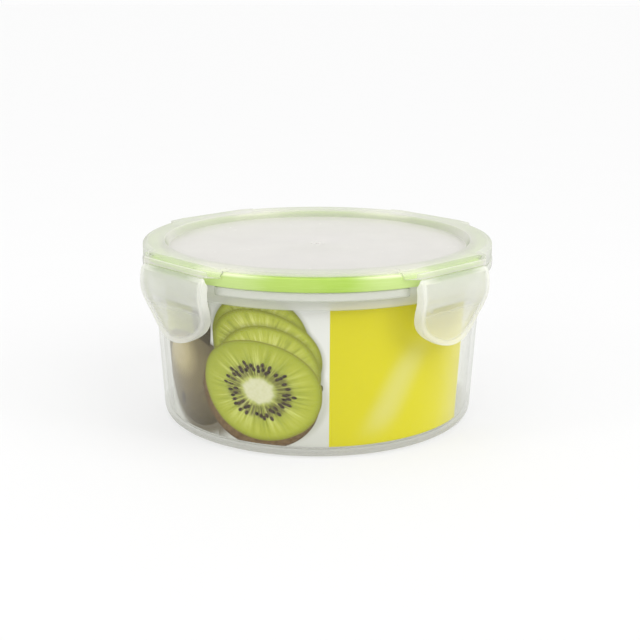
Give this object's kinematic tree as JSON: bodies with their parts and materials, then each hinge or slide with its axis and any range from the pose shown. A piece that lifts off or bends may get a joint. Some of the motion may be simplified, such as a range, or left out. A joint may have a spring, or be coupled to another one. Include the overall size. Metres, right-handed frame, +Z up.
{
  "type": "snap lid food container",
  "caption": "Round clear plastic food tub with a recessed lid, a soft seal ring, snap clips on living hinges and a curved card label inside the wall.",
  "frame": {"origin": "centre of the base, on the surface the container stands on", "axes": "+Z up; -Y is the front, where the label faces; clips sit at 45 degrees between the X and Y axes"},
  "size_m": [0.1322, 0.1338, 0.0674],
  "materials": {
    "tub": "clear natural polypropylene, moulded gloss, slightly milky",
    "lid": "milky natural polypropylene, fine satin",
    "clip": "milky natural polypropylene, fine satin",
    "hinge": "thin flexed polypropylene",
    "seal": "light green silicone, soft satin",
    "card": null
  },
  "bodies": {
    "container": {"container_body": "tub", "label_insert": "card"},
    "lid": {"lid": "lid", "gasket": "seal", "living_hinge_front_left": "hinge", "living_hinge_front_right": "hinge", "living_hinge_rear_right": "hinge", "living_hinge_rear_left": "hinge"},
    "clip_front_left": {"clip_front_left": "clip"},
    "clip_front_right": {"clip_front_right": "clip"},
    "clip_rear_right": {"clip_rear_right": "clip"},
    "clip_rear_left": {"clip_rear_left": "clip"}
  },
  "joints": [
    {"name": "lid_lift", "type": "slide", "parent": "container", "child": "lid", "axis": [0, 0, 1], "range_m": [0, 0.09]},
    {"name": "clip_front_left_hinge", "type": "hinge", "parent": "lid", "child": "clip_front_left", "pos_m": [-0.04822, -0.04822, 0.0639], "axis": [-0.7071, 0.7071, 0], "range_deg": [-4, 135]},
    {"name": "clip_front_right_hinge", "type": "hinge", "parent": "lid", "child": "clip_front_right", "pos_m": [0.04822, -0.04822, 0.0639], "axis": [-0.7071, -0.7071, 0], "range_deg": [-4, 135]},
    {"name": "clip_rear_right_hinge", "type": "hinge", "parent": "lid", "child": "clip_rear_right", "pos_m": [0.04822, 0.04822, 0.0639], "axis": [0.7071, -0.7071, 0], "range_deg": [-4, 135]},
    {"name": "clip_rear_left_hinge", "type": "hinge", "parent": "lid", "child": "clip_rear_left", "pos_m": [-0.04822, 0.04822, 0.0639], "axis": [0.7071, 0.7071, 0], "range_deg": [-4, 135]}
  ]
}
